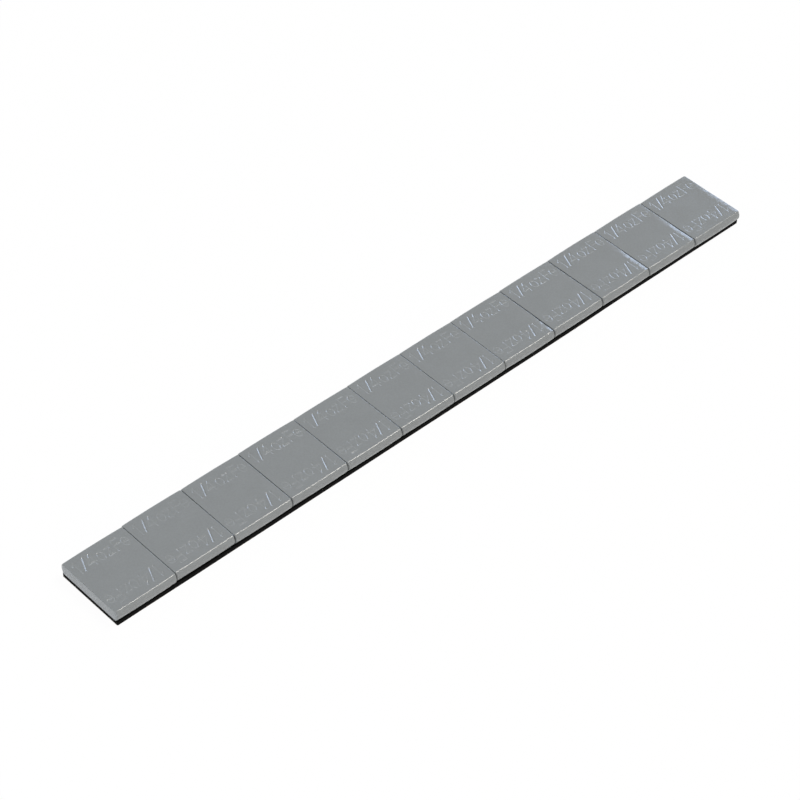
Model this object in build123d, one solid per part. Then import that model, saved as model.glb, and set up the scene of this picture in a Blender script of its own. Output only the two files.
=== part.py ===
from build123d import *
import os
from itertools import cycle, islice
from math import asin, degrees

# Stick-on wheel balance weight: a row of stamped steel slugs, each a quarter of an ounce,
# on one strip of foam tape whose adhesive is covered by a peel-off liner.
# Millimetres, +Z up. X runs along the strip, Y across it. The origin is the middle of the
# strip on the surface that it lies on.

# Steel slug
SLUG_COUNT = 12
SLUG_LENGTH = 16.6          # along the strip, between its sheared ends
SLUG_WIDTH = 19.85          # across the strip, over its long sides where they stand out most
SLUG_THICKNESS = 2.85
SIDE_SWELL = 0.64           # rolling left the bar's long sides round, this far out at mid-thickness
SIDE_BOW = 0.1              # stamping pushed each long side out this far at mid-length
LONG_EDGE_RADIUS = 0.35     # between the flat faces and the round sides
DIE_ROLL_LENGTH = 1.3       # at each end the shear draws the top face down over this length
DIE_ROLL_DEPTH = 0.07
END_EDGE_RADIUS = 0.15      # top edge of the sheared ends, softened by the coating
CORNER_RADIUS = 0.3         # upright corners

# How the slugs were laid on the tape, one after the other
SEAM_GAPS = (0.08, 0.08, 0.12, 0.09, 0.07, 0.07, 0.05, 0.16, 0.18, 0.05, 0.12)
SIDE_SHIFTS = (0.0, 0.18, 0.05, 0.05, -0.05, -0.05, -0.1, -0.1, 0.0, 0.05, 0.0, -0.1)
YAW_DEGREES = (-0.1, -0.15, -0.3, -0.4, -0.3, -0.2, -0.15, -0.15, 0.0, 0.1, 0.05, 0.1)

# Foam tape and its liner, slit and cut together
TAPE_SIDE_INSET = 0.4       # the tape stops this far inside the slugs' long sides
TAPE_END_INSET = 0.05       # and this far inside the outer ends of the row
TAPE_CORNER_RADIUS = 0.3
FOAM_THICKNESS = 1.1
LINER_THICKNESS = 0.1


def slug_outline():
    """Outline from above with sharp corners: straight ends, long sides bowed out as arcs."""
    half_length = SLUG_LENGTH / 2
    half_width = SLUG_WIDTH / 2
    end_half_width = half_width - SIDE_BOW
    far_side = ThreePointArc(
        (-half_length, end_half_width), (0, half_width), (half_length, end_half_width)
    )
    near_side = ThreePointArc(
        (half_length, -end_half_width), (0, -half_width), (-half_length, -end_half_width)
    )
    right_end = Line(far_side @ 1, near_side @ 0)
    left_end = Line(near_side @ 1, far_side @ 0)
    return make_face([far_side, right_end, near_side, left_end])


def slug_side():
    """Outline from the side: flat underside, top face drawn down in an arc at both ends."""
    half_length = SLUG_LENGTH / 2
    flat_half_length = half_length - DIE_ROLL_LENGTH
    end_height = SLUG_THICKNESS - DIE_ROLL_DEPTH
    flat_top = Line((-flat_half_length, SLUG_THICKNESS), (flat_half_length, SLUG_THICKNESS))
    right_roll = TangentArc(flat_top @ 1, (half_length, end_height), tangent=(1, 0))
    left_roll = TangentArc(flat_top @ 0, (-half_length, end_height), tangent=(-1, 0))
    base = Polyline(right_roll @ 1, (half_length, 0), (-half_length, 0), left_roll @ 1)
    outline = make_face([flat_top, right_roll, base, left_roll])
    corners = outline.vertices()
    drawn_corners = [corners.sort_by_distance(roll @ 1)[0] for roll in (right_roll, left_roll)]
    return fillet(drawn_corners, END_EDGE_RADIUS)


def bar_section():
    """Section across the bar, from its round near side to beyond its far side."""
    near = -SLUG_WIDTH / 2
    edge = near + SIDE_SWELL
    beyond = SLUG_WIDTH
    top = SLUG_THICKNESS
    round_side = ThreePointArc((edge, top), (near, top / 2), (edge, 0))
    flat_faces = Polyline((edge, 0), (beyond, 0), (beyond, top), (edge, top))
    section = make_face([round_side, flat_faces])
    long_edges = section.vertices().group_by(Axis.X)[0]
    return fillet(long_edges, LONG_EDGE_RADIUS)


def bowed_bar():
    """The bar along X, longer than a slug. Its section, swung about a distant upright axis, gives
    the near side its bow. The far side is the same, mirrored."""
    half_length = SLUG_LENGTH / 2
    bow_radius = (half_length**2 + SIDE_BOW**2) / (2 * SIDE_BOW)
    pivot = Axis((0, bow_radius - SLUG_WIDTH / 2, 0), (0, 0, 1))
    swing = 1.2 * degrees(asin(half_length / bow_radius))
    section = (Plane.YZ * bar_section()).rotate(pivot, -swing)
    near_side = revolve(section, pivot, revolution_arc=2 * swing)
    return near_side & mirror(near_side, Plane.XZ)


def steel_slug():
    """One slug, standing on z = 0 over the origin: a rolled bar, sheared off and tumbled."""
    sheared_ends = extrude(Plane.XZ * slug_side(), SLUG_WIDTH, both=True)
    round_corners = extrude(fillet(slug_outline().vertices(), CORNER_RADIUS), SLUG_THICKNESS)
    return bowed_bar() & sheared_ends & round_corners


def tape_layer(row_length, thickness):
    """One layer of the tape under a row of that length, lying on z = 0 over the origin."""
    length = row_length - 2 * TAPE_END_INSET
    width = SLUG_WIDTH - 2 * TAPE_SIDE_INSET
    return extrude(RectangleRounded(length, width, TAPE_CORNER_RADIUS), thickness)


def build():
    """Every piece of the strip in its place, by node name."""
    gaps = list(islice(cycle(SEAM_GAPS), SLUG_COUNT - 1))
    row_length = SLUG_COUNT * SLUG_LENGTH + sum(gaps)
    tape_top = LINER_THICKNESS + FOAM_THICKNESS

    pieces = {
        "release_liner": tape_layer(row_length, LINER_THICKNESS),
        "foam_tape": Pos(Z=LINER_THICKNESS) * tape_layer(row_length, FOAM_THICKNESS),
    }
    slug = steel_slug()
    seating = zip(cycle(SIDE_SHIFTS), cycle(YAW_DEGREES))
    x = -row_length / 2 + SLUG_LENGTH / 2
    for number, gap, (side_shift, yaw) in zip(range(1, SLUG_COUNT + 1), gaps + [0], seating):
        pieces[f"steel_slug_{number:02d}"] = Pos(x, side_shift, tape_top) * Rot(Z=yaw) * slug
        x += SLUG_LENGTH + gap
    return pieces


os.makedirs("parts", exist_ok=True)
for node, shape in build().items():
    export_step(shape, f"parts/{node}.step")
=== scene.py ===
"""Looks of a stick-on wheel balance weight: stamped, coated steel slugs on black foam tape."""
import math

import bpy
import numpy as np
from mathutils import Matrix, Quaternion, Vector


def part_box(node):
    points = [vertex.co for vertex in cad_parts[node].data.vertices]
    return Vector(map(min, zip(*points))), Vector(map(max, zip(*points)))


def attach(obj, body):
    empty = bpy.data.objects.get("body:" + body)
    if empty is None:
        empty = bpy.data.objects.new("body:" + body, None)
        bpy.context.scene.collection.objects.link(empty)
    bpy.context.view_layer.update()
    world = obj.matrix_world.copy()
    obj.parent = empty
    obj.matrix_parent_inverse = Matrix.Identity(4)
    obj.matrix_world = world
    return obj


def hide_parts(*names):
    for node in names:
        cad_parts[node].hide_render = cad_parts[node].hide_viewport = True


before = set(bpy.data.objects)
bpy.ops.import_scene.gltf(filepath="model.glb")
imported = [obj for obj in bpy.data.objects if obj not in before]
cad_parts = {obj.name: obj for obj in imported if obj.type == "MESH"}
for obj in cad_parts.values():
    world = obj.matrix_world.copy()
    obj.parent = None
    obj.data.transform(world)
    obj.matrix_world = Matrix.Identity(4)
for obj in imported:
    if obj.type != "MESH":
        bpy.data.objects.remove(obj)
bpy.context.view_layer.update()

MM = 0.001
SLUGS = sorted(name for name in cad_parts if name.startswith("steel_slug"))

# Slug form in millimetres, as the solids have it
SIDE_SWELL = 0.64           # rolling left the long sides round, this far out at mid-thickness
SIDE_BOW = 0.1              # each long side stands out this far at mid-length
LONG_EDGE_RADIUS = 0.35     # between the flat faces and the round sides
END_EDGE_RADIUS = 0.15      # top edge of the sheared ends
DIE_ROLL_LENGTH = 1.3       # at each end the shear draws the top face down over this length

# Die rolls of the skin in millimetres. A right end is drawn down by the first value at its near
# side and by the second at its far side, and one passes into the other at the third, a place
# across the slug. The deep ones go by the slug's number, counted from 0.
PLAIN_ROLL = (0.03, 0.03, 0.0)
DEEP_ROLLS = {
    7: (0.15, 0.03, -3.5),
    9: (0.175, 0.055, -1.2),
    10: (0.135, 0.06, -1.0),
    11: (0.08, 0.03, 4.0),
}
LEFT_ROLL = 0.02            # how far a left end is drawn down
ROLL_POWER = 1.2            # power by which a right end falls along its roll
ROLL_PASSAGE = 7            # width over which the near depth passes into the far one
ROLL_RAGGED = 0.6           # share by which a right roll's length wanders across the slug
ROLL_WAVES = (6, 0.7, 5)    # number of waves in that, and their shortest and longest length

# Edges that only the skin has, in millimetres
END_FOOT_RADIUS = 0.08      # lower edge of the sheared ends
TOP_CORNER = (0.18, 0.2)    # round corner of the top face, along and across the strip

# A slug's turn on the tape, read from its solid: the limit in degrees and the number of tries
TURN_LIMIT = 1
TURN_TRIES = 801

# Stamped mark in millimetres: strokes pressed into the top face along both long edges
MARK_BASE = 4.25            # base line, from the middle of the slug
CAP_HEIGHT = 3.4
SMALL_HEIGHT = 2.4
STROKE_MOUTH = 0.62         # width of a stroke at the surface
STROKE_FLANK = 0.3          # width of each of its sloping flanks
STROKE_DEPTH = 0.046
BEND_POINTS = 25            # points along a bent stroke

# Ends of strokes that went deeper, along and above the base line, with their share of the stroke
# depth and their length
DEEP_ENDS = [(-6.24, 0.0), (-6.24, 3.2), (-2.2, 0.0), (1.35, 0.1), (2.55, 2.1), (3.65, 0.0)]
DEEP_END_SHARE = 1.6
DEEP_END_LENGTH = 0.2

# How hard the stamp hits each slug, and how it varies
STAMP_PRESS = (1.2, 1.1, 1.1, 1.15, 1.05, 1.05, 1.0, 1.05, 1.05, 0.95, 0.95, 0.9)
STAMP_SHIFT = 0.07          # how far the stamp lands from its place, in millimetres
STAMP_UNEVEN = 0.04         # how much its depth differs from end to end and from row to row
STAMP_PATCHY = 0.9          # how much the coating fills it here and there
STAMP_LIMITS = (0.2, 1.8)   # least and most of all that together
PATCH_SLANTS = (0.8, -0.6)  # slants of the two sets of waves that make the patches
PATCH_WAVES = (4, 0.8, 2.5)     # number of waves in a set, and their shortest and longest length
# Painted highlight along the stamped strokes: the paint is made paler there in place of the light that
# their flanks catch
PAINTED_HIGHLIGHT_FLOOR = 0.15         # painted highlight: how much paler the paint is made on the floor of a stroke
PAINTED_HIGHLIGHT_FLANK = 1.7          # and how much paler on its flanks

# Tape and liner in millimetres. A profile has pairs of an inset and a share of the height, from
# the top to the bottom.
FOAM_PROFILE = [(0.05, 1.0), (0.0, 0.97), (-0.02, 0.9), (-0.02, 0.5), (-0.02, 0.05), (-0.01, 0.0)]
LINER_PROFILE = [(0.04, 1.0), (0.02, 0.85), (0.02, 0.15), (0.04, 0.0)]
FOAM_UNEVEN = 0.03          # how far the slit edges wander
LINER_UNEVEN = 0.02
SLIT_WAVES = (5, 9, 60)     # number of waves in that, and their shortest and longest length
SLIT_SHIFT = 37             # moves the waves along, so that the two edges differ
TAPE_CORNER_RADIUS = 0.3
TAPE_DRIFT = 0.12           # how far the strip lies off the middle line, first to the near side
DRIFT_START = 36            # place along the strip where it starts to drift to the far side
DRIFT_LENGTH = 24           # and the length that it takes

# Mesh steps in millimetres, and numbers of steps
MARK_STEP = 0.09
PLAIN_STEP = 0.25
TAPE_STEP = 0.5
MARK_MARGIN = 0.6           # the fine steps go this far past the mark
RIM_STRIP = 0.03            # width of the last row at the edge of the top face
RIM_ROWS = 6
CORNER_STEPS = 5
EDGE_STEPS = 5
WALL_STEPS = 8

# The photograph's camera, in millimetres and degrees
CAMERA_PLACE = (-303.7, -298.9, 412.2)
CAMERA_TARGET = (-9.19, -0.84, 2.0)
CAMERA_ROLL = 2.15
CAMERA_LENS = 113.27
CAMERA_SENSOR = 36

# Floor and room
FLOOR_HALF = 2.0            # half the floor's side in metres
FLOOR_DROP = 0.02           # how far it lies under the liner, in millimetres
FLOOR_EVENED = 0.97         # share of it that is seen as even white, the rest keeps the shadow
ROOM_LEVELS = (0.9, 0.1)    # light of the room at the horizon and overhead

# Seeded, so that every run draws the same
draw = np.random.default_rng(12)


# Meshes

def put_mesh(name, points, quads, triangles, material, node):
    """Make a piece from points in millimetres and four- and three-cornered faces, in place of a node."""
    mesh = bpy.data.meshes.new(name)
    mesh.vertices.add(len(points))
    mesh.vertices.foreach_set("co", (points * MM).astype(np.float32).ravel())
    corners = np.concatenate([quads.ravel(), triangles.ravel()])
    mesh.loops.add(len(corners))
    mesh.loops.foreach_set("vertex_index", corners.astype(np.int32))
    starts = np.concatenate([np.arange(len(quads)) * 4, quads.size + np.arange(len(triangles)) * 3])
    mesh.polygons.add(len(starts))
    mesh.polygons.foreach_set("loop_start", starts.astype(np.int32))
    mesh.update(calc_edges=True)
    mesh.shade_smooth()
    mesh.materials.append(material)
    piece = bpy.data.objects.new(name, mesh)
    bpy.context.scene.collection.objects.link(piece)
    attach(piece, "root")
    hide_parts(node)
    return piece


def grid_quads(index):
    """Quads between neighbouring rows and columns of a grid of point numbers."""
    corners = [index[:-1, :-1], index[:-1, 1:], index[1:, 1:], index[1:, :-1]]
    return np.stack(corners, axis=-1).reshape(-1, 4)


def ring_quads(levels):
    """Quads between closed rings of point numbers, each ring outside or below the one before it."""
    after = np.roll(levels, -1, axis=1)
    return np.stack([levels[:-1], levels[1:], after[1:], after[:-1]], axis=-1).reshape(-1, 4)


def ring_fan(ring, pole):
    """Triangles from a closed ring to a pole below it."""
    return np.stack([np.full_like(ring, pole), np.roll(ring, -1), ring], axis=-1)


def smooth(share):
    """Smooth step from 0 to 1: 3 s squared minus 2 s cubed, held at its ends."""
    share = np.clip(share, 0, 1)
    return share * share * (3 - 2 * share)


def wander(place, waves, shortest, longest):
    """A slow uneven line: the mean of a few sines of the place with drawn phases and lengths."""
    phase = draw.uniform(0, 2 * np.pi, waves)
    length = draw.uniform(shortest, longest, waves)
    return np.sin(place[..., None] / length * 2 * np.pi + phase).mean(axis=-1)


# Stamped mark

def bent_stroke(centre, radii, start, stop):
    """A stroke along an ellipse: centre plus radii times cosine and sine, from start to stop degrees."""
    turn = np.radians(np.linspace(start, stop, BEND_POINTS))
    return np.array(centre) + np.array(radii) * np.stack([np.cos(turn), np.sin(turn)], axis=1)


def mark_strokes():
    """The mark, a quarter of an ounce of iron: for each stroke how deep it is, as a share of the stroke
    depth, and its points in millimetres along and above the base line. Some strokes lie again over a
    stretch of another and are deeper."""
    cap, small = CAP_HEIGHT, SMALL_HEIGHT
    half = small / 2
    one = [
        (1.3, [(-6.85, 2.75), (-6.24, cap)]),
        (0.6, [(-6.24, cap), (-6.24, 0)]),
    ]
    slash = [(2.1, [(-5.25, -0.05), (-3.8, cap + 0.05)])]
    four = [
        (0.6, [(-2.2, 0), (-2.2, cap)]),
        (0.8, [(-2.2, cap), (-3.8, 0.95)]),
        (2.1, [(-2.25, 3.3), (-2.6, 2.75)]),
        (1.1, [(-3.8, 0.95), (-1.7, 0.95)]),
    ]
    small_o = [
        (0.9, bent_stroke((-0.1, half), (0.82, half), 0, 360)),
        (1.7, bent_stroke((-0.1, half), (0.82, half), 120, 150)),
        (1.7, bent_stroke((-0.1, half), (0.82, half), 300, 330)),
    ]
    small_z = [
        (1.05, [(1.25, small), (2.7, small)]),
        (0.7, [(2.7, small), (1.25, 0)]),
        (1.05, [(1.25, 0), (2.75, 0)]),
    ]
    large_f = [
        (0.6, [(3.65, 0), (3.65, cap)]),
        (1.05, [(3.65, cap), (5.35, cap)]),
        (1.05, [(3.65, 1.75), (5.2, 1.75)]),
    ]
    small_e = [
        (1.05, [(5.6, half), (7.3, half)]),
        (0.9, bent_stroke((6.45, half), (0.85, half), 0, 315)),
        (1.6, bent_stroke((6.45, half), (0.85, half), 120, 150)),
    ]
    deep_ends = [(DEEP_END_SHARE, [(x, y), (x, y + DEEP_END_LENGTH)]) for x, y in DEEP_ENDS]
    return one + slash + four + small_o + small_z + large_f + small_e + deep_ends


STROKES = [(share, np.array(points, float)) for share, points in mark_strokes()]


def pressed(along, above):
    """How deep the strokes are at each point, as a share of the stroke depth, and how far it lies in a
    stroke: on every straight run the foot of the point, held between the run's ends, gives its distance,
    a smooth step turns that into a groove, and the deepest groove counts."""
    starts = np.concatenate([points[:-1] for _, points in STROKES])
    runs = np.concatenate([np.diff(points, axis=0) for _, points in STROKES])
    shares = np.concatenate([np.full(len(points) - 1, share) for share, points in STROKES])
    offset = np.stack([along.ravel(), above.ravel()], axis=1)[:, None, :] - starts
    foot = np.clip((offset * runs).sum(axis=2) / (runs ** 2).sum(axis=1), 0, 1)
    reach = np.linalg.norm(offset - foot[:, :, None] * runs, axis=2)
    grooves = smooth((STROKE_MOUTH / 2 - reach) / STROKE_FLANK)
    share = (shares * grooves).max(axis=1)
    inside = grooves.max(axis=1)
    return share.reshape(along.shape), inside.reshape(along.shape)


def stamped(x, y, press):
    """Depth of the mark's two rows, of which the second is the first turned half round, and a painted
    highlight: a share by which the paint is made paler, in place of the light that the strokes catch, a
    little on the floor of a stroke and most half way up its flanks. The stamp lands a little off its
    place, and its depth differs from end to end, from row to row and in patches, which are the product
    of two slanted sets of waves."""
    depth, painted_highlight = np.zeros_like(x), np.zeros_like(x)
    shift = draw.normal(0, STAMP_SHIFT, 2)
    uneven = draw.normal(0, STAMP_UNEVEN, 2)
    first = wander(x + PATCH_SLANTS[0] * y, *PATCH_WAVES)
    second = wander(y + PATCH_SLANTS[1] * x, *PATCH_WAVES)
    patches = 1 + STAMP_PATCHY * first * second
    for turn in (1, -1):
        strength = (1 + uneven[0] * x / x.max() + uneven[1] * turn) * patches
        strength = np.clip(strength, *STAMP_LIMITS)
        share, inside = pressed(turn * (x - shift[0]), turn * (y - shift[1]) - MARK_BASE)
        depth += STROKE_DEPTH * press * strength * share
        # Painted highlight: a little on the floor of a stroke, most half way up its flanks
        flank_highlight = PAINTED_HIGHLIGHT_FLOOR * inside + PAINTED_HIGHLIGHT_FLANK * inside * (1 - inside)
        painted_highlight += flank_highlight * strength / STAMP_LIMITS[1]
    return depth, painted_highlight


# Steel slugs

def slug_place(node):
    """Middle, turn, half length, half width and thickness of a slug, read from its solid. The turn is
    the one at which the solid is shortest along the strip, because its two ends are flat."""
    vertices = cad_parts[node].data.vertices
    flat = np.empty(len(vertices) * 3)
    vertices.foreach_get("co", flat)
    points = flat.reshape(-1, 3) / MM
    low, high = points.min(axis=0), points.max(axis=0)
    middle = np.array([(low[0] + high[0]) / 2, (low[1] + high[1]) / 2, low[2]])
    points = points - middle
    turns = np.radians(np.linspace(-TURN_LIMIT, TURN_LIMIT, TURN_TRIES))[:, None]
    along = np.cos(turns) * points[:, 0] + np.sin(turns) * points[:, 1]
    best = np.ptp(along, axis=1).argmin()
    turn = turns[best, 0]
    across = np.cos(turn) * points[:, 1] - np.sin(turn) * points[:, 0]
    return middle, turn, np.ptp(along[best]) / 2, np.ptp(across) / 2, high[2] - low[2]


def graded_rows(reach):
    """Places across the top face, from edge to edge: fine steps over the two marks, coarse ones
    elsewhere."""
    low, high = MARK_BASE - MARK_MARGIN, MARK_BASE + CAP_HEIGHT + MARK_MARGIN
    plain = np.linspace(0, low, round(low / PLAIN_STEP), endpoint=False)
    fine = np.linspace(low, high, round((high - low) / MARK_STEP), endpoint=False)
    rim = np.append(np.linspace(high, reach - RIM_STRIP, RIM_ROWS), reach)
    half = np.concatenate([plain, fine, rim])
    return np.concatenate([-half[:0:-1], half])


def side_profile(thickness):
    """Way out and height along a round long side, from the top face to the underside: an arc of the
    edge radius, the wide arc of the rolled side and the edge's arc again, each by its lean."""
    half = thickness / 2
    wide = (SIDE_SWELL ** 2 + half ** 2) / (2 * SIDE_SWELL)
    lift = half - LONG_EDGE_RADIUS
    back = math.sqrt((wide - LONG_EDGE_RADIUS) ** 2 - lift ** 2)
    meet = math.atan2(lift, back)
    edge = np.linspace(np.pi / 2, meet, EDGE_STEPS + 1)
    wall = np.linspace(meet, -meet, WALL_STEPS + 1)[1:-1]
    edge_out, edge_up = LONG_EDGE_RADIUS * np.cos(edge), lift + LONG_EDGE_RADIUS * np.sin(edge)
    out = np.concatenate([edge_out, wide * np.cos(wall) - back, edge_out[::-1]])
    height = half + np.concatenate([edge_up, wide * np.sin(wall), -edge_up[::-1]])
    return out[:, None], height[:, None]


def end_profile(top, tilt):
    """Way out and height along a sheared end from each point of the top face's border: an arc that
    leaves the drawn face at its tilt and ends upright, a straight wall and a small arc at the foot."""
    share = np.linspace(0, 1, EDGE_STEPS + 1)[:, None]
    lean = tilt + (np.pi / 2 - tilt) * share
    radius = END_EDGE_RADIUS / (1 - np.sin(tilt))
    edge_out = radius * (np.sin(lean) - np.sin(tilt))
    edge_height = top - radius * (np.cos(tilt) - np.cos(lean))
    fall = np.linspace(0, 1, WALL_STEPS + 1)[1:-1, None]
    wall_height = edge_height[-1] + (END_FOOT_RADIUS - edge_height[-1]) * fall
    foot = np.pi / 2 * share + 0 * tilt
    foot_out = END_EDGE_RADIUS - END_FOOT_RADIUS * (1 - np.cos(foot))
    out = np.concatenate([edge_out, np.full_like(wall_height, END_EDGE_RADIUS), foot_out])
    height = np.concatenate([edge_height, wall_height, END_FOOT_RADIUS * (1 - np.sin(foot))])
    return out, height


def drawn_ends(x, y, half_length, right_roll):
    """How far the shear drew the top face down near both ends, and the slope there: a parabola over
    the die roll on the left, and on the right a lower power, whose depth passes from the near to the
    far one in a smooth step while its length wanders across the slug."""
    left = np.clip(1 - (half_length + x) / DIE_ROLL_LENGTH, 0, 1)
    length = DIE_ROLL_LENGTH * (1 + ROLL_RAGGED * wander(y, *ROLL_WAVES))
    right = np.clip(1 - (half_length - x) / length, 0, 1)
    near, far, middle = right_roll
    depth = far + (near - far) * smooth(0.5 + (middle - y) / ROLL_PASSAGE)
    drawn = LEFT_ROLL * left ** 2 + depth * right ** ROLL_POWER
    left_slope = 2 * LEFT_ROLL * left / DIE_ROLL_LENGTH
    right_slope = ROLL_POWER * depth * right ** (ROLL_POWER - 1) / length
    return drawn, left_slope + right_slope


def slug_surface(half_length, half_width, thickness, right_roll, press):
    """Closed skin of one slug over the origin: its points, its four- and three-cornered faces, and the
    painted highlight at each point, the share by which the paint is made paler there.

    The top face is a grid: columns along the strip, and in each column the rows spread over the
    half width there, which is the full one less a parabola for the bow and an arc at the corners.
    Its height is the thickness less the drawn ends and less the mark. The rim is a profile carried
    round the grid's border: the side's profile along the long sides, the end's profile along the
    ends, and at the corners a blend by the square of the outward direction. A fan of triangles
    closes the underside."""
    side_out, side_height = side_profile(thickness)
    straight = half_length - END_EDGE_RADIUS - TOP_CORNER[0]
    bend = np.linspace(0, np.pi / 2, CORNER_STEPS + 1)[1:]
    run = np.linspace(-straight, straight, round(2 * straight / MARK_STEP))
    past = straight + TOP_CORNER[0] * np.sin(bend)
    x = np.concatenate([-past[::-1], run, past])
    turn = np.concatenate([-bend[::-1], np.zeros_like(run), bend])
    bow = SIDE_BOW * (x / half_length) ** 2
    rounding = TOP_CORNER[1] * (1 - np.cos(turn))
    reach = half_width - side_out.max() - bow - rounding
    rows = graded_rows(reach.max()) / reach.max()
    grid_x = np.broadcast_to(x, (len(rows), len(x))).copy()
    grid_y = rows[:, None] * reach
    drawn, slope = drawn_ends(grid_x, grid_y, half_length, right_roll)
    depth, painted_highlight = stamped(grid_x, grid_y, press)
    top = np.stack([grid_x, grid_y, thickness - drawn - depth], axis=-1)

    index = np.arange(grid_x.size).reshape(grid_x.shape)
    ring = np.concatenate([index[0], index[1:, -1], index[-1, -2::-1], index[-2:0:-1, 0]])
    angle = turn + 2 * SIDE_BOW * x / half_length ** 2 * np.cos(turn)
    flat = np.zeros(len(rows) - 2)
    around = np.concatenate([angle - np.pi / 2, flat, np.pi / 2 - angle[::-1], flat + np.pi])
    along, across = np.cos(around), np.sin(around)
    border = top.reshape(-1, 3)[ring]

    end_out, end_height = end_profile(border[:, 2], np.arctan(slope.ravel()[ring]) * along ** 2)
    rim_x = border[:, 0] + along * end_out
    rim_y = border[:, 1] + across * side_out
    rim_z = along ** 2 * end_height + across ** 2 * side_height * border[:, 2] / thickness
    rim = np.stack([rim_x, rim_y, rim_z], axis=-1)[1:]

    points = np.concatenate([top.reshape(-1, 3), rim.reshape(-1, 3), np.zeros((1, 3))])
    below = grid_x.size + np.arange(rim.shape[0] * rim.shape[1]).reshape(rim.shape[:2])
    quads = np.concatenate([grid_quads(index), ring_quads(np.vstack([ring, below]))])
    # The painted highlight's share, for the points of the top face
    painted_highlight_share = np.zeros(len(points))
    painted_highlight_share[:grid_x.size] = painted_highlight.ravel()
    return points, quads, ring_fan(below[-1], len(points) - 1), painted_highlight_share


def lay_slug(node, right_roll, press, material):
    """Put a slug's skin where its solid is: turned about the upright and moved to the solid's middle."""
    middle, turn, half_length, half_width, thickness = slug_place(node)
    points, quads, triangles, painted_highlight_share = slug_surface(
        half_length, half_width, thickness, right_roll, press)
    spin = np.array([[np.cos(turn), np.sin(turn), 0], [-np.sin(turn), np.cos(turn), 0], [0, 0, 1]])
    points = points @ spin + middle
    slug = put_mesh(node + "_stamped", points, quads, triangles, material, node)
    # Stores the painted highlight's share on the slug's points
    slug.data.attributes.new("painted_highlight_share", "FLOAT", "POINT").data.foreach_set("value", painted_highlight_share)


# Tape and liner

def tape_path(half_length, half_width, radius):
    """Closed path round a rectangle with round corners, with outward directions: four quarter
    circles joined by straight runs in even steps."""
    places, outward = [], []
    middles = np.array([[1, 1], [-1, 1], [-1, -1], [1, -1]]) * [half_length - radius, half_width - radius]
    for side in range(4):
        turn = np.radians(90 * side + np.linspace(0, 90, CORNER_STEPS + 1))
        quarter = np.stack([np.cos(turn), np.sin(turn)], axis=1)
        away = quarter[-1]
        begin = middles[side] + radius * away
        end = middles[(side + 1) % 4] + radius * away
        steps = round(np.linalg.norm(end - begin) / TAPE_STEP)
        share = np.arange(1, steps)[:, None] / steps
        places += [middles[side] + radius * quarter, begin + share * (end - begin)]
        outward += [quarter, np.broadcast_to(away, (steps - 1, 2))]
    return np.concatenate(places), np.concatenate(outward)


def lay_strip(node, profile, uneven, material):
    """A strip with the solid's outline: a profile of (inset, share of height) pairs, from the top to
    the bottom, carried along the long sides, closed above and below by fans. The slit edge wanders
    a little, and the whole strip lies to the near side, but drifts to the far side on its right."""
    low, high = (np.array(corner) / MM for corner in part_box(node))
    middle = (low + high) / 2
    half = (high - low) / 2
    path, outward = tape_path(half[0], half[1], TAPE_CORNER_RADIUS)
    loose = uneven * wander(path[:, 0] + SLIT_SHIFT * np.sign(path[:, 1]), *SLIT_WAVES)
    drift = TAPE_DRIFT * (2 * smooth((path[:, 0] - DRIFT_START) / DRIFT_LENGTH) - 1)
    rings = []
    for inset, share in profile:
        spot = path + np.stack([0 * drift, drift - outward[:, 1] * (inset + loose)], axis=1)
        height = np.full(len(path), low[2] + share * (high - low)[2])
        rings.append(np.column_stack([spot + middle[:2], height]))
    poles = np.array([[middle[0], middle[1], high[2]], [middle[0], middle[1], low[2]]])
    points = np.concatenate(rings + [poles])
    levels = np.arange(len(rings) * len(path)).reshape(len(rings), len(path))
    above = ring_fan(levels[0], len(points) - 2)[:, ::-1]
    triangles = np.concatenate([above, ring_fan(levels[-1], len(points) - 1)])
    put_mesh(node + "_strip", points, ring_quads(levels), triangles, material, node)


# Materials

def linear(hex_colour):
    """An sRGB hex colour as linear red, green, blue and alpha."""
    shares = np.array([int(hex_colour[i:i + 2], 16) for i in (1, 3, 5)]) / 255
    curved = np.where(shares <= 0.04045, shares / 12.92, ((shares + 0.055) / 1.055) ** 2.4)
    return (*curved.tolist(), 1.0)


def per_metre(size):
    """Texture scale for a pattern of that size in millimetres."""
    return 1 / (size * MM)


def add(tree, kind, settings=None, values=None, links=None):
    """Add a node with its settings, the values of its input sockets and links into them."""
    made = tree.nodes.new(kind)
    for name, value in (settings or {}).items():
        setattr(made, name, value)
    for socket, value in (values or {}).items():
        made.inputs[socket].default_value = value
    for socket, source in (links or {}).items():
        tree.links.new(source, made.inputs[socket])
    return made


def new_material(name):
    """An empty node material and its tree."""
    material = bpy.data.materials.new(name)
    material.use_nodes = True
    material.node_tree.nodes.clear()
    return material, material.node_tree


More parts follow.
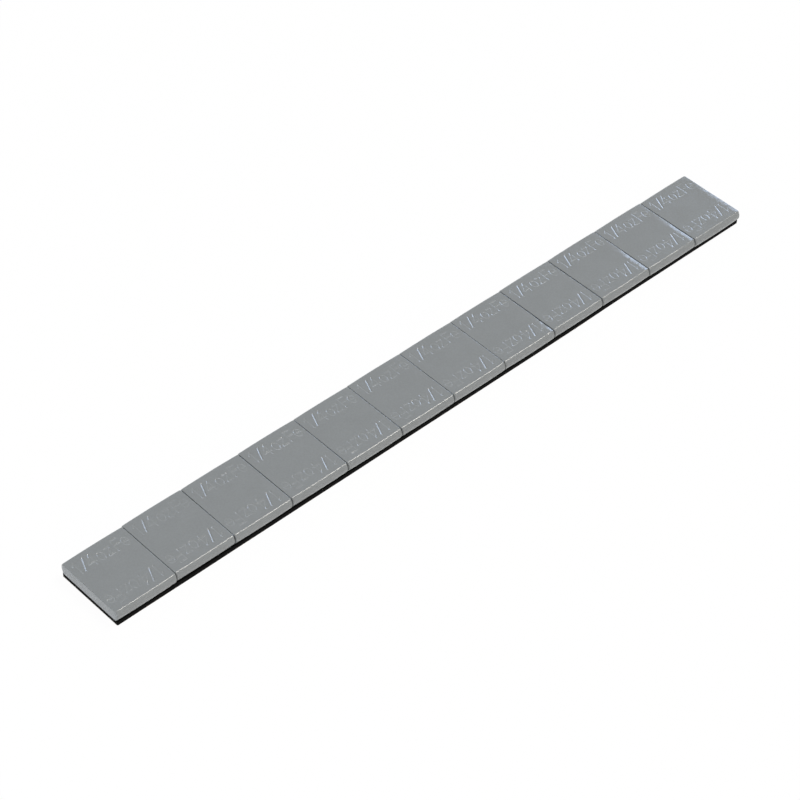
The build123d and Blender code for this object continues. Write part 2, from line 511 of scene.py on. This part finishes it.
def grey_coated_steel():
    """Grey stoved paint on steel: an even neutral grey, half glossy, with faint clouds, a fine grain and
    an orange peel. Along the edges of the stamped strokes it is painted a little paler, a painted
    highlight."""
    material, tree = new_material("grey_coated_steel")
    place = add(tree, "ShaderNodeTexCoord").outputs["Object"]
    cloud = add(tree, "ShaderNodeTexNoise", values={"Scale": per_metre(5), "Detail": 3.0},
                links={"Vector": place})
    grain = add(tree, "ShaderNodeTexNoise", values={"Scale": per_metre(0.35), "Detail": 2.0},
                links={"Vector": place})
    peel = add(tree, "ShaderNodeTexNoise", values={"Scale": per_metre(0.7), "Detail": 1.0},
               links={"Vector": place})
    shade = add(tree, "ShaderNodeMix", {"data_type": "RGBA"},
                {"A": linear("#767B7D"), "B": linear("#7C8183")}, {"Factor": cloud.outputs["Fac"]})
    speck = add(tree, "ShaderNodeMapRange",
                values={"From Min": 0.3, "From Max": 0.7, "To Min": 0.96, "To Max": 1.04},
                links={"Value": grain.outputs["Fac"]})
    even = add(tree, "ShaderNodeVectorMath", {"operation": "SCALE"},
               links={"Vector": shade.outputs["Result"], "Scale": speck.outputs["Result"]})
    # Painted highlight: the paler grey #898E8F is mixed in by the share stored along the stamped strokes
    highlight_attribute = add(tree, "ShaderNodeAttribute", {"attribute_name": "painted_highlight_share"})
    coat_and_highlight = add(tree, "ShaderNodeMix", {"data_type": "RGBA"}, {"B": linear("#898E8F")},
               {"A": even.outputs["Vector"], "Factor": highlight_attribute.outputs["Fac"]})
    gloss = add(tree, "ShaderNodeMapRange",
                values={"From Min": 0.3, "From Max": 0.7, "To Min": 0.15, "To Max": 0.2},
                links={"Value": cloud.outputs["Fac"]})
    bump = add(tree, "ShaderNodeBump", values={"Strength": 1.0, "Distance": 0.003 * MM},
               links={"Height": peel.outputs["Fac"]})
    surface = add(tree, "ShaderNodeBsdfPrincipled", values={"Metallic": 0.0, "IOR": 1.65},
                  links={"Base Color": coat_and_highlight.outputs["Result"], "Roughness": gloss.outputs["Result"],
                         "Normal": bump.outputs["Normal"]})
    add(tree, "ShaderNodeOutputMaterial", links={"Surface": surface.outputs["BSDF"]})
    return material


def black_foam():
    """Black polyethylene foam, slit: a dull charcoal full of small open cells."""
    material, tree = new_material("black_foam")
    place = add(tree, "ShaderNodeTexCoord").outputs["Object"]
    cells = add(tree, "ShaderNodeTexVoronoi", values={"Scale": per_metre(0.3)}, links={"Vector": place})
    shade = add(tree, "ShaderNodeMix", {"data_type": "RGBA"},
                {"A": linear("#030303"), "B": linear("#0B0B0A")}, {"Factor": cells.outputs["Distance"]})
    bump = add(tree, "ShaderNodeBump", values={"Strength": 0.8, "Distance": 0.06 * MM},
               links={"Height": cells.outputs["Distance"]})
    surface = add(tree, "ShaderNodeBsdfPrincipled",
                  values={"Metallic": 0.0, "IOR": 1.5, "Roughness": 0.85, "Specular IOR Level": 0.08},
                  links={"Base Color": shade.outputs["Result"], "Normal": bump.outputs["Normal"]})
    add(tree, "ShaderNodeOutputMaterial", links={"Surface": surface.outputs["BSDF"]})
    return material


def liner_paper():
    """Silicone coated paper: an off-white with faint fibres and a soft sheen."""
    material, tree = new_material("liner_paper")
    place = add(tree, "ShaderNodeTexCoord").outputs["Object"]
    stretched = add(tree, "ShaderNodeMapping", values={"Scale": (1.0, 3.0, 1.0)}, links={"Vector": place})
    fibre = add(tree, "ShaderNodeTexNoise", values={"Scale": per_metre(1.6), "Detail": 5.0},
                links={"Vector": stretched.outputs["Vector"]})
    shade = add(tree, "ShaderNodeMix", {"data_type": "RGBA"},
                {"A": linear("#DCD9CF"), "B": linear("#EFEDE6")}, {"Factor": fibre.outputs["Fac"]})
    bump = add(tree, "ShaderNodeBump", values={"Strength": 0.5, "Distance": 0.01 * MM},
               links={"Height": fibre.outputs["Fac"]})
    surface = add(tree, "ShaderNodeBsdfPrincipled",
                  values={"Metallic": 0.0, "IOR": 1.45, "Roughness": 0.42},
                  links={"Base Color": shade.outputs["Result"], "Normal": bump.outputs["Normal"]})
    add(tree, "ShaderNodeOutputMaterial", links={"Surface": surface.outputs["BSDF"]})
    return material


# Stage

def seen_directly(tree):
    """One for rays from the camera and for those that a mirror or glass sends on, else nothing."""
    path = add(tree, "ShaderNodeLightPath")
    glossy = add(tree, "ShaderNodeMath", {"operation": "MAXIMUM"},
                 links={0: path.outputs["Is Camera Ray"], 1: path.outputs["Is Glossy Ray"]})
    seen = add(tree, "ShaderNodeMath", {"operation": "MAXIMUM"},
               links={0: glossy.outputs["Value"], 1: path.outputs["Is Transmission Ray"]})
    return seen.outputs["Value"]


def white_floor():
    """A white floor under the object that the camera sees as nearly even white, with a faint shadow."""
    material, tree = new_material("white_floor")
    paper = add(tree, "ShaderNodeBsdfDiffuse", values={"Color": linear("#FAFAFA")})
    white = add(tree, "ShaderNodeEmission", values={"Color": (1, 1, 1, 1), "Strength": 1.0})
    evened = add(tree, "ShaderNodeMath", {"operation": "MULTIPLY"}, {1: FLOOR_EVENED},
                 {0: seen_directly(tree)})
    both = add(tree, "ShaderNodeMixShader",
               links={0: evened.outputs["Value"], 1: paper.outputs["BSDF"], 2: white.outputs["Emission"]})
    add(tree, "ShaderNodeOutputMaterial", links={"Surface": both.outputs["Shader"]})
    size, drop = FLOOR_HALF, -FLOOR_DROP * MM
    corners = [(-size, -size, drop), (size, -size, drop), (size, size, drop), (-size, size, drop)]
    mesh = bpy.data.meshes.new("floor")
    mesh.from_pydata(corners, [], [(0, 1, 2, 3)])
    mesh.materials.append(material)
    floor = bpy.data.objects.new("floor", mesh)
    bpy.context.scene.collection.objects.link(floor)


def pale_room():
    """A pale room, brighter towards the horizon than overhead, that the camera sees as white."""
    world = bpy.data.worlds.new("pale_room")
    bpy.context.scene.world = world
    world.use_nodes = True
    tree = world.node_tree
    tree.nodes.clear()
    towards = add(tree, "ShaderNodeSeparateXYZ",
                  links={"Vector": add(tree, "ShaderNodeTexCoord").outputs["Generated"]})
    level = add(tree, "ShaderNodeMapRange",
                values={"From Min": 0.0, "From Max": 1.0,
                        "To Min": ROOM_LEVELS[0], "To Max": ROOM_LEVELS[1]},
                links={"Value": towards.outputs["Z"]})
    room = add(tree, "ShaderNodeBackground", values={"Color": linear("#FAFCFF")},
               links={"Strength": level.outputs["Result"]})
    white = add(tree, "ShaderNodeBackground", values={"Color": (1, 1, 1, 1), "Strength": 1.0})
    mixed = add(tree, "ShaderNodeMixShader",
                links={0: seen_directly(tree), 1: room.outputs["Background"],
                       2: white.outputs["Background"]})
    add(tree, "ShaderNodeOutputWorld", links={"Surface": mixed.outputs["Shader"]})


def soft_light(name, place, size, radiance, colour, mirrored=True):
    """A rectangular soft light that faces the object, with its place and size in metres. Its power
    is pi times its radiance times its area. A fill isn't mirrored in the paint."""
    lamp = bpy.data.lights.new(name, "AREA")
    lamp.shape = "RECTANGLE"
    lamp.size, lamp.size_y = size
    lamp.energy = math.pi * radiance * size[0] * size[1]
    lamp.color = linear(colour)[:3]
    light = bpy.data.objects.new(name, lamp)
    light.location = place
    light.visible_glossy = mirrored
    light.rotation_euler = (-light.location).to_track_quat("-Z", "Y").to_euler()
    bpy.context.scene.collection.objects.link(light)


def photo_camera():
    """The photograph's camera: at its place, facing its target, rolled a little about its line of sight."""
    data = bpy.data.cameras.new("photo_camera")
    data.lens = CAMERA_LENS
    data.sensor_width = CAMERA_SENSOR
    data.clip_start, data.clip_end = 0.01, 10
    camera = bpy.data.objects.new("photo_camera", data)
    place, target = (Vector(point) * MM for point in (CAMERA_PLACE, CAMERA_TARGET))
    camera.location = place
    camera.rotation_mode = "QUATERNION"
    level = (target - place).to_track_quat("-Z", "Y")
    camera.rotation_quaternion = level @ Quaternion((0, 0, 1), math.radians(CAMERA_ROLL))
    bpy.context.scene.collection.objects.link(camera)
    bpy.context.scene.camera = camera


# The strip on its stage

coating = grey_coated_steel()
for number, (slug, press) in enumerate(zip(SLUGS, STAMP_PRESS)):
    lay_slug(slug, DEEP_ROLLS.get(number, PLAIN_ROLL), press, coating)
lay_strip("foam_tape", FOAM_PROFILE, FOAM_UNEVEN, black_foam())
lay_strip("release_liner", LINER_PROFILE, LINER_UNEVEN, liner_paper())

white_floor()
pale_room()
soft_light("overhead_softbox", (2.82, -0.9, 5.22), (2.5, 2.1), 13.8, "#FFFAF2")
soft_light("side_window", (5.17, 2.41, 1.85), (1.86, 3.2), 5.0, "#C4DAFF")
soft_light("far_window", (3.0, 4.6, 1.9), (2.6, 1.4), 2.4, "#F4F8FF")
soft_light("left_fill", (-0.45, -0.05, 0.09), (0.3, 0.15), 3.7, "#F0F5FF", mirrored=False)
soft_light("front_fill", (-0.35, -1.1, 0.3), (1.2, 0.5), 1.8, "#FFE6CC", mirrored=False)
photo_camera()
bpy.context.scene.view_settings.view_transform = "Standard"
